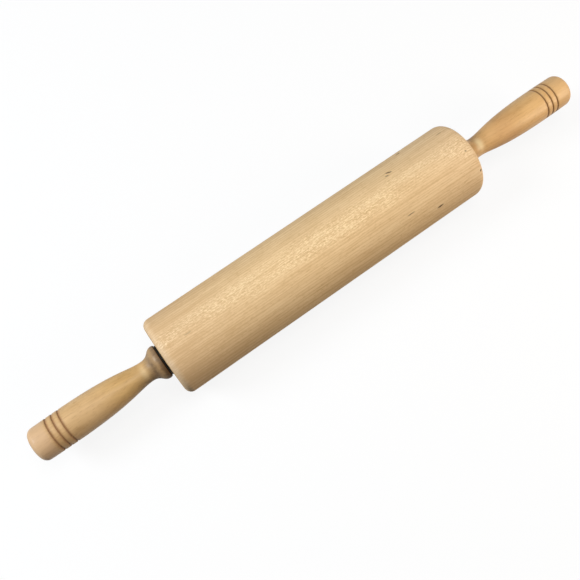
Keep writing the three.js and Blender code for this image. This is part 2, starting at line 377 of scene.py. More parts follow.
def turningMarks():  # fine rings left by a tool on work that turns about the axle
    inputs = {"Place": "Vector", "Pitch": "Float", "Seed": "Float"}
    tree, given, made = newGroup("turningMarks", inputs, ("Marks", "Wear"))
    x, y, z = parts(tree, given["Place"])
    radius = distance(tree, y, calc(tree, "SUBTRACT", z, axisHeight))
    step = calc(tree, "DIVIDE", 1.0, given["Pitch"])
    ring = vector(tree, calc(tree, "MULTIPLY", x, step), calc(tree, "MULTIPLY", radius, step), given["Seed"])
    tree.links.new(noise(tree, ring, 3.0, 0.65), made["Marks"])
    tree.links.new(noise(tree, given["Place"], 4.0, 0.6, 260.0), made["Wear"])
    return tree


groups = {"maple": mapleFigure(), "streak": mineralStreak(), "handling": handling(), "marks": turningMarks()}
print("shared effects:", ", ".join(groups))


def mapleOf(tree, place, looks):
    return useGroup(
        tree, groups["maple"], Place=place, Pith=looks["pith"], RingPitch=looks["ringPitch"],
        Wander=looks["wander"], Seed=looks["seed"],
    )


def figured(tree, figure, amounts, looks, level=0.5):  # one colour, by how much each part of the figure shows
    for name, amount in amounts.items():
        middle = 0.5 if name in ("Fibre", "Mottle", "Tone") else 0.2
        level = calc(tree, "MULTIPLY_ADD", calc(tree, "SUBTRACT", figure[name], middle), amount, level)
    return ramp(tree, level, [(0.15, looks["dark"]), (0.85, looks["pale"]), (0.5, looks["plain"])])


endGrain = {"tint": (0.82, 0.76, 0.68), "ring": (0.84, 0.75, 0.64), "handleTint": (0.90, 0.84, 0.76)}


def endGrained(tree, colour, end, figure, tint):  # deeper colour and plainer rings on cut ends
    colour = blend(tree, end, colour, tint, "MULTIPLY")
    return blend(tree, calc(tree, "MULTIPLY", figure["Rings"], end), colour, endGrain["ring"], "MULTIPLY")


# Barrel finish: bare maple
barrelLooks = {
    "pith": (0.0, 0.115, 0.0687),
    "ringPitch": 0.0020,
    "wander": 0.0040,
    "seed": 17.4,
    "pale": (0.93, 0.705, 0.440),
    "plain": (0.825, 0.582, 0.340),
    "dark": (0.665, 0.432, 0.225),
    "soil": (0.62, 0.45, 0.27),
    "soilSize": 50.0 * mm,
    "soilShare": 0.12,
    "oiled": (0.99, 0.985, 0.91),  # the middle, which sees most dough
    "oiledFrom": (190.0 * mm, 60.0 * mm),
    "paleRim": (0.88, 0.69, 0.48),  # paler on the rounded ends
    "paleRimReach": 8.0 * mm,
    "paleRimRagged": 8.0 * mm,
    "paleRimShare": 0.30,
    "endGrainDepth": (1.0 * mm, 0.1 * mm),  # in from the end, where it starts and where it is full
    "deeperEnd": (-150.0 * mm, -40.0 * mm, 0.21),  # the barrel's colour is darker towards the left end: where darkest, where plain, and by how much
    "figure": {"Fibre": 0.70, "Mottle": 0.28, "Tone": 0.30, "Rings": -0.25, "Flecks": 0.66, "Pores": -0.20},
    "roughness": (0.72, 0.60),
    "bump": (0.16, 0.15 * mm),  # strength and depth
    "streak": (0.070, 0.030, 0.011),
    # along X, degrees from the top towards +Y, half length, half width, slant in degrees, depth of colour
    "streaks": [
        (80.8, 26.4, 3.3, 0.75, -22, 0.97),
        (77.6, 22.7, 2.2, 0.65, -14, 0.75),
        (102.6, -59.8, 3.8, 0.95, 2, 0.97),
        (148.2, -48.6, 1.6, 1.2, 0, 0.97),
        (143.2, -12.2, 1.1, 0.65, -30, 0.7),
        (102.0, 53.6, 2.6, 1.1, 5, 0.75),
        (75.0, -41.9, 4.6, 0.5, 0, 0.7),
        (138.5, 35.6, 3.6, 0.7, 3, 0.3),
        (-126.7, -4.4, 3.6, 0.8, 0, 0.25),
    ],
}


def barrelMaple():
    looks = barrelLooks
    material, tree, shader = newMaterial("barrelMaple")
    place = objectPlace(tree)
    x = parts(tree, place)[0]
    figure = mapleOf(tree, place, looks)
    soil = useGroup(tree, groups["handling"], Place=place, Size=looks["soilSize"], Seed=looks["seed"])
    deepest, plainFrom, deeper = looks["deeperEnd"]
    level = smooth(tree, x, deepest, plainFrom, 0.5 - deeper, 0.5)
    colour = figured(tree, figure, looks["figure"], looks, level)
    fromMiddle = calc(tree, "ABSOLUTE", x)
    colour = blend(tree, smooth(tree, fromMiddle, *looks["oiledFrom"]), colour, looks["oiled"], "MULTIPLY")
    colour = stain(tree, colour, looks["soil"], soil["Patches"], looks["soilShare"])
    paleRim = calc(tree, "SUBTRACT", figure["Mottle"], 0.5)
    paleRim = calc(tree, "MULTIPLY_ADD", paleRim, looks["paleRimRagged"], fromMiddle)
    paleRim = smooth(tree, paleRim, barrelEnd - looks["paleRimReach"], barrelEnd)
    colour = stain(tree, colour, looks["paleRim"], paleRim, looks["paleRimShare"])
    end = smooth(tree, fromMiddle, *(barrelEnd - depth for depth in looks["endGrainDepth"]))
    colour = endGrained(tree, colour, end, figure, endGrain["tint"])
    for along, degrees, length, width, slant, depth in looks["streaks"]:
        mark = useGroup(
            tree, groups["streak"], Place=place, Along=along * mm, Turn=math.radians(degrees),
            Radius=barrelRadius, Length=length * mm, Width=width * mm, Slant=math.radians(slant),
        )
        colour = stain(tree, colour, looks["streak"], mark["Streak"], depth)
    tree.links.new(colour, shader.inputs["Base Color"])
    tree.links.new(smooth(tree, figure["Fibre"], 0.3, 0.7, *looks["roughness"]), shader.inputs["Roughness"])
    shader.inputs["Specular IOR Level"].default_value = 0.15
    height = calc(tree, "MULTIPLY_ADD", figure["Rings"], -0.25, figure["Fibre"])
    height = calc(tree, "MULTIPLY_ADD", figure["Pores"], -0.6, height)
    bump(tree, shader, height, *looks["bump"])
    return material


# Handle finish: oiled maple, each from its own board
handleLooks = {
    "right": {
        "pith": (0.0, 0.06, 0.11), "ringPitch": 0.0030, "wander": 0.010, "seed": 11.3,
        "pale": (0.775, 0.48, 0.205), "plain": (0.678, 0.402, 0.162), "dark": (0.53, 0.295, 0.100),
        "cap": (0.72, 0.46, 0.225), "burn": (0.20, 0.088, 0.022), "burnt": 0.94, "burnReach": 1.02 * mm,
        "collarGrimeAndShade": 0.34, "coat": 0.16,
        "oiled": (42.0 * mm, 24.0 * mm, (0.89, 0.84, 0.82)), "neckHighlight": (16.2 * mm, 5.4 * mm, 0.88),
    },
    "left": {
        "pith": (0.0, -0.07, 0.10), "ringPitch": 0.0026, "wander": 0.010, "seed": 27.9,
        "pale": (0.715, 0.465, 0.222), "plain": (0.624, 0.392, 0.180), "dark": (0.485, 0.285, 0.115),
        "cap": (0.71, 0.47, 0.305), "burn": (0.26, 0.12, 0.047), "burnt": 0.78, "burnReach": 1.5 * mm,
        "collarGrimeAndShade": 1.0, "coat": 0.08,
        "oiled": (32.0 * mm, 34.0 * mm, (0.97, 0.94, 0.78)), "neckHighlight": (17.0 * mm, 4.0 * mm, 0.30),
    },
}
handleWear = {
    "figure": {"Fibre": 0.55, "Mottle": 0.65, "Tone": 0.60, "Rings": -0.12, "Flecks": 0.20, "Pores": -0.20},
    "soil": (0.52, 0.33, 0.16),
    "soilSize": 18.0 * mm,
    "soilShare": 0.15,
    "neckHighlight": (0.93, 0.735, 0.42),  # painted highlight: a pale patch on the neck beside the collar
    "highlightPlace": -1.6 * mm,  # a little to the near side
    "highlightWidth": (9.0 * mm, 1.0 * mm),  # from its middle, where it ends and where it is full
    "capShare": 0.40,  # of its own colour past the burnt lines
    "capFade": 5.0 * mm,
    "tipDepth": (1.6 * mm, 0.1 * mm),  # end grain, where it starts and where it is full
    "grimeAndShade": (0.165, 0.112, 0.068),  # grey grime on the far side of the collar
    "grimeAndShadeNear": (0.155, 0.088, 0.040),  # browner and darker on the near (lower) side: grime with painted shade
    # painted shade: the collar's darkening grows from the far side to the near (lower) side
    "nearShadeSides": (6.0 * mm, -9.0 * mm),
    "grimeAndShadeShares": (0.90, 1.18),
    "grimeReach": 16.0 * mm,
    "grimeRagged": 3.0 * mm,
    "grimeMost": 0.95,
    "gapShade": (0.020, 0.013, 0.008),  # painted shade: near black on the collar's edge beside the gap to the barrel
    "gapShadeReach": (1.15 * mm, 0.2 * mm),
    # share of the reach from the collar face, and how dark it is there: worn off the bead, thick in the cove
    "grimeStops": [
        (0.0, 0.90), (1.0, 0.0), (0.18, 0.84), (0.30, 0.54), (0.38, 0.56), (0.54, 0.84), (0.75, 0.52),
    ],
    "toast": (0.45, 0.25, 0.105),
    "toastShare": 0.40,
    "toastReach": 1.0 * mm,  # past the burnt line
    "burnCore": 0.3 * mm,
    "burnRagged": 0.5 * mm,
    "roughness": {"plain": 0.42, "soiled": 0.12, "burnt": 0.25},  # what soil and burning add
    "coatRoughness": 0.24,
    "toolPitch": 0.9 * mm,
    "bump": (0.18, 0.12 * mm),
}

# Handle shape, from the collar face
handleShape = {
    "sides": 128,
    "collarFaceRadius": 14.1 * mm,
    "collarWidth": 7.0 * mm,
    "collarRootRadius": 12.8 * mm,
    "beadRise": 1.25 * mm,
    "beadNose": 1.2 * mm,
    "beadShoulder": 2.5 * mm,
    "coveLead": 2.2 * mm,
    "neckRadius": 9.05 * mm,
    "neckPlace": 15.0 * mm,
    "neckCurveIn": 3.8 * mm,
    "neckCurveOut": 13.0 * mm,
    "gripRadius": 14.7 * mm,
    "gripCurve": 49.0 * mm,
    "gripWidestFromEnd": 32.0 * mm,
    "gripTaper": 0.3 * mm,
    "endRounding": 5.5 * mm,
    "endFullness": 1.2 * mm,
    "endDraw": 0.5 * mm,
    "endFaceRadius": 9.0 * mm,
    "endDome": 0.2 * mm,
    "lineCount": 3,
    "linePitch": 5.63 * mm,
    "lastLineFromEnd": 18.4 * mm,
    "lineWidth": 2.1 * mm,
    "lineDepth": 0.6 * mm,
    "mouth": 6.0 * mm,
    "pilot": 5.7 * mm,
    "drillTip": 3.0 * mm,
    "mouthBreak": 0.3 * mm,
    "insertFit": (0.1 * mm, 0.2 * mm),  # before the insert and behind it
    "rows": {"bead": 20, "cove": 20, "swell": 40, "line": 16, "tail": 18, "dome": 6},
}


def fromNearestLine(tree, fromEnd):  # distance to the middle of the nearest burnt line
    shape = handleShape
    count = calc(tree, "SUBTRACT", fromEnd, shape["lastLineFromEnd"])
    count = calc(tree, "DIVIDE", count, shape["linePitch"])
    nearest = calc(tree, "MAXIMUM", calc(tree, "ROUND", count), 0.0)
    nearest = calc(tree, "MINIMUM", nearest, shape["lineCount"] - 1.0)
    return calc(tree, "MULTIPLY", apart(tree, count, nearest), shape["linePitch"])


def handleMaple(side):
    looks = handleLooks[side]
    wear = handleWear
    material, tree, shader = newMaterial(side + "HandleMaple")
    place = objectPlace(tree)
    x, y = parts(tree, place)[:2]
    x = calc(tree, "ABSOLUTE", x)
    fromCollar = calc(tree, "SUBTRACT", x, collarFace)
    fromEnd = calc(tree, "SUBTRACT", handleEnd, x)
    figure = mapleOf(tree, place, looks)
    soil = useGroup(tree, groups["handling"], Place=place, Size=wear["soilSize"], Seed=looks["seed"])
    colour = figured(tree, figure, wear["figure"], looks)
    colour = stain(tree, colour, wear["soil"], soil["Patches"], wear["soilShare"])

    # Neck: darkened by oil where the hand closes, with a painted highlight beside the collar
    middle, spread, tint = looks["oiled"]
    oiled = smooth(tree, apart(tree, fromCollar, middle), spread, 0.0)
    colour = blend(tree, oiled, colour, tint, "MULTIPLY")
    # painted highlight on the neck, standing in for the gloss of a lamp
    middle, spread, share = looks["neckHighlight"]
    neckHighlight = smooth(tree, apart(tree, fromCollar, middle), spread, 0.0, 0.0, share)
    highlightBand = smooth(tree, apart(tree, y, wear["highlightPlace"]), *wear["highlightWidth"])
    colour = stain(tree, colour, wear["neckHighlight"], neckHighlight, highlightBand)

    # Ends: a paler cap past the lines, and grime on the collar, with painted shade on its near side and
    # beside the gap
    lastLine = handleShape["lastLineFromEnd"]
    cap = smooth(tree, fromEnd, lastLine, lastLine - wear["capFade"])
    colour = stain(tree, colour, looks["cap"], cap, wear["capShare"])
    tip = smooth(tree, fromEnd, *wear["tipDepth"])
    colour = endGrained(tree, colour, tip, figure, endGrain["handleTint"])
    ragged = calc(tree, "SUBTRACT", figure["Mottle"], 0.5)
    reach = calc(tree, "MULTIPLY_ADD", ragged, wear["grimeRagged"], fromCollar)
    grimeAndShade = levels(tree, calc(tree, "DIVIDE", reach, wear["grimeReach"]), wear["grimeStops"])
    # painted shade: the collar is darker and browner on its near (lower) side
    nearShade = smooth(tree, y, *wear["nearShadeSides"])
    grimeAndShade = calc(tree, "MULTIPLY", grimeAndShade, between(tree, nearShade, *wear["grimeAndShadeShares"]))
    uneven = smooth(tree, figure["Fibre"], 0.3, 0.7, 1.12, 0.86)
    grimeAndShade = calc(tree, "MULTIPLY", grimeAndShade, uneven)
    grimeAndShade = calc(tree, "MULTIPLY", grimeAndShade, looks["collarGrimeAndShade"])
    grimeAndShade = calc(tree, "MINIMUM", grimeAndShade, wear["grimeMost"])
    colour = blend(tree, grimeAndShade, colour, blend(tree, nearShade, wear["grimeAndShade"], wear["grimeAndShadeNear"]))
    # painted shade in the gap between the collar and the barrel
    gapShade = smooth(tree, fromCollar, *wear["gapShadeReach"])
    colour = stain(tree, colour, wear["gapShade"], gapShade, looks["collarGrimeAndShade"])

    # Burnt lines, with a little toasting beside them
    ragged = calc(tree, "SUBTRACT", figure["Fibre"], 0.5)
    fromLine = calc(tree, "MULTIPLY_ADD", ragged, wear["burnRagged"], fromNearestLine(tree, fromEnd))
    past = wear["toastReach"]
    toast = smooth(tree, fromLine, looks["burnReach"] + past, past)
    colour = stain(tree, colour, wear["toast"], toast, wear["toastShare"])
    burn = smooth(tree, fromLine, looks["burnReach"], wear["burnCore"])
    colour = stain(tree, colour, looks["burn"], burn, looks["burnt"])
    tree.links.new(colour, shader.inputs["Base Color"])
    rough = wear["roughness"]
    dull = calc(tree, "MULTIPLY_ADD", soil["Patches"], rough["soiled"], rough["plain"])
    tree.links.new(calc(tree, "MULTIPLY_ADD", burn, rough["burnt"], dull), shader.inputs["Roughness"])
    shader.inputs["Specular IOR Level"].default_value = 0.25
    clean = calc(tree, "SUBTRACT", 1.0, grimeAndShade)
    tree.links.new(calc(tree, "MULTIPLY", clean, looks["coat"]), shader.inputs["Coat Weight"])
    shader.inputs["Coat Roughness"].default_value = wear["coatRoughness"]
    marks = useGroup(tree, groups["marks"], Place=place, Pitch=wear["toolPitch"], Seed=looks["seed"])
    height = calc(tree, "MULTIPLY_ADD", marks["Marks"], 0.5, figure["Fibre"])
    bump(tree, shader, height, *wear["bump"])
    return material


# Metals and plastic
metalLooks = {
    "rodSteel": {
        "pale": (0.62, 0.63, 0.64), "dark": (0.40, 0.40, 0.41),
        "roughness": (0.24, 0.42), "pitch": 0.35 * mm, "seed": 1.0,
    },
    "bearingSteel": {
        "pale": (0.70, 0.71, 0.72), "dark": (0.52, 0.52, 0.53),
        "roughness": (0.12, 0.26), "pitch": 0.12 * mm, "seed": 2.0,
    },
    "shieldSteel": {
        "pale": (0.55, 0.56, 0.57), "dark": (0.36, 0.36, 0.37),
        "roughness": (0.28, 0.45), "pitch": 0.25 * mm, "seed": 3.0,
    },
    "washerSteel": {
        # painted shade: near black, so the gap between collar and barrel reads as shade
        "pale": (0.040, 0.037, 0.034), "dark": (0.014, 0.013, 0.012),
        "roughness": (0.50, 0.70), "pitch": 0.25 * mm, "seed": 4.0,
    },
    "insertBrass": {
        "pale": (0.72, 0.48, 0.17), "dark": (0.46, 0.28, 0.09),
        "roughness": (0.26, 0.44), "pitch": 0.30 * mm, "seed": 5.0,
    },
}
metalBump = (0.12, 0.03 * mm)  # strength and depth


def turnedMetal(name):
    looks = metalLooks[name]
    material, tree, shader = newMaterial(name)
    marks = useGroup(tree, groups["marks"], Place=objectPlace(tree), Pitch=looks["pitch"], Seed=looks["seed"])
    wear = calc(tree, "MULTIPLY_ADD", marks["Marks"], 0.5, calc(tree, "MULTIPLY", marks["Wear"], 0.5))
    colour = ramp(tree, wear, [(0.3, looks["dark"]), (0.62, looks["pale"])])
    tree.links.new(colour, shader.inputs["Base Color"])
    tree.links.new(smooth(tree, marks["Wear"], 0.3, 0.7, *looks["roughness"]), shader.inputs["Roughness"])
    shader.inputs["Metallic"].default_value = 1.0
    bump(tree, shader, marks["Marks"], *metalBump)
    return material


cageLooks = {
    "pale": (0.80, 0.75, 0.60),
    "dark": (0.66, 0.59, 0.43),
    "cloud": 180.0,  # features to the metre
    "grain": 1400.0,
    "roughness": (0.42, 0.58),
    "bump": (0.15, 0.05 * mm),
}


def cagePolymer():
    looks = cageLooks
    material, tree, shader = newMaterial("cagePolymer")
    place = objectPlace(tree)
    cloud = noise(tree, place, 3.0, 0.5, looks["cloud"])
    grain = noise(tree, place, 2.0, 0.5, looks["grain"])
    colour = ramp(tree, cloud, [(0.3, looks["dark"]), (0.7, looks["pale"])])
    tree.links.new(colour, shader.inputs["Base Color"])
    tree.links.new(smooth(tree, grain, 0.3, 0.7, *looks["roughness"]), shader.inputs["Roughness"])
    bump(tree, shader, grain, *looks["bump"])
    return material


finishes = {name: turnedMetal(name) for name in metalLooks}
finishes["barrelMaple"] = barrelMaple()
finishes["cagePolymer"] = cagePolymer()
for side in sides:
    finishes[side + "Handle"] = handleMaple(side)
print("finishes:", len(finishes))


# Turning: an outline of points (along X, thread depth, radius) spun about the axle
making = {
    "weld": {"turned": 2e-6, "cage": 4e-6},  # points closer than this become one
    "crease": {"turned": 35.0, "bearing": 25.0},  # degrees
    "ballMesh": {"Segments": 32, "Rings": 18},
    "noThread": 1.0,  # any pitch does for a piece without a thread
    "easeSteps": 4,  # rows on a small eased edge
}


def newTree(name, inputs):
    tree = bpy.data.node_groups.new(name, "GeometryNodeTree")
    for title, kind in inputs.items():
        tree.interface.new_socket(title, in_out="INPUT", socket_type="NodeSocket" + kind)
    tree.interface.new_socket("Made", in_out="OUTPUT", socket_type="NodeSocketGeometry")
    given = tree.nodes.new("NodeGroupInput").outputs
    made = tree.nodes.new("NodeGroupOutput").inputs["Made"]
    return tree, given, made


def chain(tree, geometry, kind, **settings):  # the next geometry node in a row
    node = tree.nodes.new(kind)
    tree.links.new(geometry, node.inputs[0])
    for name, value in settings.items():
        setattr(node, name, value)
    return node


def smoothShaded(tree, geometry, crease):  # smooth faces, with edges sharper than the crease angle kept hard
    soft = chain(tree, geometry, "GeometryNodeSetShadeSmooth", domain="FACE")
    hard = chain(tree, soft.outputs[0], "GeometryNodeSetShadeSmooth", domain="EDGE")
    bend = tree.nodes.new("GeometryNodeInputMeshEdgeAngle").outputs["Unsigned Angle"]
    tree.links.new(calc(tree, "GREATER_THAN", bend, crease), hard.inputs["Selection"])
    hard.inputs["Shade Smooth"].default_value = False
    return hard.outputs[0]


def finishedWith(tree, geometry, finish, made):
    real = chain(tree, geometry, "GeometryNodeRealizeInstances")
    painted = chain(tree, real.outputs[0], "GeometryNodeSetMaterial")
    tree.links.new(finish, painted.inputs["Material"])
    tree.links.new(painted.outputs[0], made)


def turningTree():
    tree, given, made = newTree(
        "turning",
        {
            "Outline": "Geometry", "Sides": "Int", "AxisHeight": "Float", "Crease": "Float",
            "OutsidePitch": "Float", "BorePitch": "Float", "Finish": "Material",
        },
    )
    size = tree.nodes.new("GeometryNodeAttributeDomainSize")
    tree.links.new(given["Outline"], size.inputs[0])
    columns = calc(tree, "ADD", given["Sides"], 1.0)
    grid = tree.nodes.new("GeometryNodeMeshGrid")
    tree.links.new(size.outputs["Point Count"], grid.inputs["Vertices X"])
    tree.links.new(columns, grid.inputs["Vertices Y"])
    index = tree.nodes.new("GeometryNodeInputIndex").outputs[0]
    row = calc(tree, "FLOOR", calc(tree, "DIVIDE", calc(tree, "ADD", index, 0.5), columns))
    column = calc(tree, "SUBTRACT", index, calc(tree, "MULTIPLY", row, columns))
    sample = tree.nodes.new("GeometryNodeSampleIndex")
    sample.data_type = "FLOAT_VECTOR"
    sample.domain = "POINT"
    tree.links.new(given["Outline"], sample.inputs["Geometry"])
    tree.links.new(tree.nodes.new("GeometryNodeInputPosition").outputs[0], sample.inputs["Value"])
    tree.links.new(row, sample.inputs["Index"])
    along, thread, radius = parts(tree, sample.outputs[0])

    turn = calc(tree, "DIVIDE", column, given["Sides"])
    bored = calc(tree, "GREATER_THAN", thread, 0.0)
    pitch = calc(tree, "SUBTRACT", given["BorePitch"], given["OutsidePitch"])
    pitch = calc(tree, "MULTIPLY_ADD", bored, pitch, given["OutsidePitch"])
    wave = calc(tree, "FRACT", calc(tree, "SUBTRACT", calc(tree, "DIVIDE", along, pitch), turn))
    wave = calc(tree, "PINGPONG", calc(tree, "MULTIPLY", wave, 2.0), 1.0)
    radius = calc(tree, "MULTIPLY_ADD", thread, wave, radius)
    angle = calc(tree, "MULTIPLY", turn, 2 * math.pi)
    place = vector(
        tree, along, calc(tree, "MULTIPLY", radius, calc(tree, "COSINE", angle)),
        calc(tree, "MULTIPLY_ADD", radius, calc(tree, "SINE", angle), given["AxisHeight"]),
    )
    spun = chain(tree, grid.outputs[0], "GeometryNodeSetPosition")
    tree.links.new(place, spun.inputs["Position"])
    welded = chain(tree, spun.outputs[0], "GeometryNodeMergeByDistance")
    welded.inputs["Distance"].default_value = making["weld"]["turned"]
    shaded = smoothShaded(tree, welded.outputs[0], given["Crease"])
    finishedWith(tree, shaded, given["Finish"], made)
    return tree


def ballRing(tree, given, radius):  # balls of one radius on their pitch circle, about the axle
    circle = tree.nodes.new("GeometryNodeMeshCircle")
    tree.links.new(given["Count"], circle.inputs["Vertices"])
    tree.links.new(given["PitchRadius"], circle.inputs["Radius"])
    ball = tree.nodes.new("GeometryNodeMeshUVSphere")
    for name, count in making["ballMesh"].items():
        ball.inputs[name].default_value = count
    tree.links.new(radius, ball.inputs["Radius"])
    put = chain(tree, circle.outputs[0], "GeometryNodeInstanceOnPoints")
    tree.links.new(ball.outputs[0], put.inputs["Instance"])
    real = chain(tree, put.outputs[0], "GeometryNodeRealizeInstances")
    soft = chain(tree, real.outputs[0], "GeometryNodeSetShadeSmooth", domain="FACE")
    stood = chain(tree, soft.outputs[0], "GeometryNodeTransform")
    stood.inputs["Rotation"].default_value = (0.0, math.pi / 2, 0.0)
    tree.links.new(given["Middle"], stood.inputs["Translation"])
    return stood.outputs[0]


def ballTree():
    tree, given, made = newTree(
        "ballSet",
        {
            "Outline": "Geometry", "Count": "Int", "PitchRadius": "Float", "Ball": "Float",
            "Middle": "Vector", "Finish": "Material",
        },
    )
    finishedWith(tree, ballRing(tree, given, given["Ball"]), given["Finish"], made)
    return tree


def cageTree(turning):  # a turned ring with a round pocket cut for each ball
    tree, given, made = newTree(
        "crownCage",
        {
            "Outline": "Geometry", "Sides": "Int", "AxisHeight": "Float", "Crease": "Float", "Count": "Int",
            "PitchRadius": "Float", "Pocket": "Float", "Middle": "Vector", "Finish": "Material",
        },
    )
    blank = tree.nodes.new("GeometryNodeGroup")
    blank.node_tree = turning
    for name in ("Outline", "Sides", "AxisHeight", "Crease", "Finish"):
        tree.links.new(given[name], blank.inputs[name])
    for name in ("OutsidePitch", "BorePitch"):
        blank.inputs[name].default_value = making["noThread"]
    cut = tree.nodes.new("GeometryNodeMeshBoolean")
    cut.operation = "DIFFERENCE"
    cut.solver = "EXACT"
    tree.links.new(blank.outputs[0], cut.inputs[0])
    tree.links.new(ballRing(tree, given, given["Pocket"]), cut.inputs[1])
    clean = chain(tree, cut.outputs[0], "GeometryNodeMergeByDistance")
    clean.inputs["Distance"].default_value = making["weld"]["cage"]
    shaded = smoothShaded(tree, clean.outputs[0], given["Crease"])
    finishedWith(tree, shaded, given["Finish"], made)
    return tree


trees = {"turning": turningTree(), "balls": ballTree()}
trees["cage"] = cageTree(trees["turning"])


def makePiece(name, outline, tree, values, body, nodes):
    mesh = bpy.data.meshes.new(name + "Outline")
    links = [(index, index + 1) for index in range(len(outline) - 1)]
    mesh.from_pydata([(along, thread, radius) for along, radius, thread in outline], links, [])
    piece = bpy.data.objects.new(name, mesh)
    bpy.context.collection.objects.link(piece)
    modifier = piece.modifiers.new("make", "NODES")
    modifier.node_group = tree
    for item in tree.interface.items_tree:
        if item.in_out == "INPUT" and item.name in values:
            modifier[item.identifier] = values[item.name]
    evaluated = piece.evaluated_get(bpy.context.evaluated_depsgraph_get())
    made = bpy.data.meshes.new_from_object(evaluated)
    piece.modifiers.remove(modifier)
    made.name = name
    work = bmesh.new()
    work.from_mesh(made)
    bmesh.ops.recalc_face_normals(work, faces=work.faces)
    work.to_mesh(made)
    work.free()
    piece.data = made
    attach(piece, body)
    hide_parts(*nodes)


def turn(
    name, outline, sideCount, finish, body, slot, nodes,
    edges="turned", outsidePitch=making["noThread"], borePitch=making["noThread"],
):
    values = {
        "Sides": sideCount, "AxisHeight": axisHeight, "Crease": math.radians(making["crease"][edges]),
        "OutsidePitch": outsidePitch, "BorePitch": borePitch, "Finish": finishes[finish],
    }
    makePiece(name, outline, trees["turning"], values, body, nodes)


# Outlines: points (along X, radius, thread depth)
def at(along, radius, thread=0.0):
    return (along, radius, thread)


def arc(along, radius, size, start, end, steps):  # angles in degrees from the direction of the axle
    points = []
    for step in range(steps + 1):
        angle = math.radians(start + (end - start) * step / steps)
        points.append(at(along + size * math.cos(angle), radius + size * math.sin(angle)))
    return points


def curve(steps, *controls):  # Bezier curve through its first and last control
    points = []
    for step in range(steps + 1):
        share = step / steps
        row = [Vector(control) for control in controls]
        while len(row) > 1:
            row = [first.lerp(second, share) for first, second in zip(row, row[1:])]
        points.append(at(row[0].x, row[0].y))
    return points


def sided(outline, sign):  # the outline as it is for the right side, or turned round for the left
    if sign > 0:
        return outline
    return [at(-along, radius, thread) for along, radius, thread in reversed(outline)]


def moved(outline, along):
    return [at(along + place, radius, thread) for place, radius, thread in outline]


def closed(outline):
    return outline + outline[:1]


def threaded(start, end, radius, depth, pitch, rowsPerTurn=12):  # rows of a thread that fades in and out
    count = round(abs(end - start) / pitch * rowsPerTurn)
    points = []
    for row in range(count + 1):
        share = row / count
        fade = min(1.0, share * count / rowsPerTurn, (1 - share) * count / rowsPerTurn)
        points.append(at(start + (end - start) * share, radius, depth * fade))
    return points


# Barrel
barrelShape = {
    "sides": 192,
    "edgeRadius": {"right": 7.6 * mm, "left": 6.2 * mm},  # the left end is the less worn one
    "edgeSteps": 18,
    "bodyRows": 24,
    "pocket": 14.2 * mm,
    "pocketBreak": 0.35 * mm,
    "pocketFit": 0.2 * mm,  # behind the bearing
    "relief": 11.53 * mm,
    "reliefDepth": 1.5 * mm,
    "bore": 8.0 * mm,
}


def buildBarrel():
    shape = barrelShape
    edges = {}
    for side, size in shape["edgeRadius"].items():
        edges[side] = arc(barrelEnd - size, barrelRadius - size, size, 90, 0, shape["edgeSteps"])
    leftEdge = sided(edges["left"], -1)
    start, end = leftEdge[-1][0], edges["right"][0][0]
    rows = shape["bodyRows"]
    steps = making["easeSteps"]
    pocketBreak = shape["pocketBreak"]
    pocketFloor = bearingMiddle - bearingHalf - shape["pocketFit"]
    reliefFloor = pocketFloor - shape["reliefDepth"]
    body = [at(start + (end - start) * row / rows, barrelRadius) for row in range(1, rows)]
    inside = [
        *arc(barrelEnd - pocketBreak, shape["pocket"] + pocketBreak, pocketBreak, 0, -90, steps),
        at(pocketFloor, shape["pocket"]),
        at(pocketFloor, shape["relief"]),
        at(reliefFloor, shape["relief"]),
        at(reliefFloor, shape["bore"]),
    ]
    outline = [*leftEdge, *body, *edges["right"], *inside, *sided(inside, -1)]
    turn(
        "barrel_turned", closed(outline), shape["sides"], "barrelMaple",
        "barrel_assembly", "barrel_maple", ["barrel"],
    )


# Handles
def handleOutside():
    shape = handleShape
    length = handleEnd - collarFace
    face = shape["collarFaceRadius"]
    root = shape["collarRootRadius"]
    crown = face + shape["beadRise"]
    width = shape["collarWidth"]
    neck = shape["neckRadius"]
    place = shape["neckPlace"]
    grip = shape["gripRadius"]
    widest = length - shape["gripWidestFromEnd"]
    gripEnd = length - shape["endRounding"]
    endFace = (length - shape["endDome"], shape["endFaceRadius"])

    def gripRadius(along):
        return grip - shape["gripTaper"] * ((along - widest) / (gripEnd - widest)) ** 2

    rows = shape["rows"]
    nose = (shape["beadNose"], crown)
    shoulder = (width - shape["beadShoulder"], crown)
    bead = curve(rows["bead"], (0, face), nose, shoulder, (width, root))
    lead = shape["coveLead"]
    slope = (crown - root) / shape["beadShoulder"]
    leading = (width + lead, root - lead * slope)
    cove = curve(rows["cove"], (width, root), leading, (place - shape["neckCurveIn"], neck), (place, neck))
    leaving = (place + shape["neckCurveOut"], neck)
    swell = curve(rows["swell"], (place, neck), leaving, (widest - shape["gripCurve"], grip), (widest, grip))
    lines = []
    for index in reversed(range(shape["lineCount"])):
        middle = length - shape["lastLineFromEnd"] - index * shape["linePitch"]
        for row in range(rows["line"] + 1):
            share = 2 * row / rows["line"] - 1
            along = middle + share * shape["lineWidth"] / 2
            depth = shape["lineDepth"] * math.cos(share * math.pi / 2) ** 2  # eased at its lips and its root
            lines.append(at(along, gripRadius(along) - depth))
    beyond = length - shape["lastLineFromEnd"] / 2
    tailPull = (length - shape["endFullness"], gripRadius(gripEnd) - shape["endDraw"])
    tail = curve(rows["tail"], (gripEnd, gripRadius(gripEnd)), tailPull, endFace)
    dome = curve(rows["dome"], endFace, (length, shape["endFaceRadius"] / 2), (length, 0))
    return [*bead, *cove[1:], *swell[1:], *lines, at(beyond, gripRadius(beyond)), *tail, *dome[1:]]


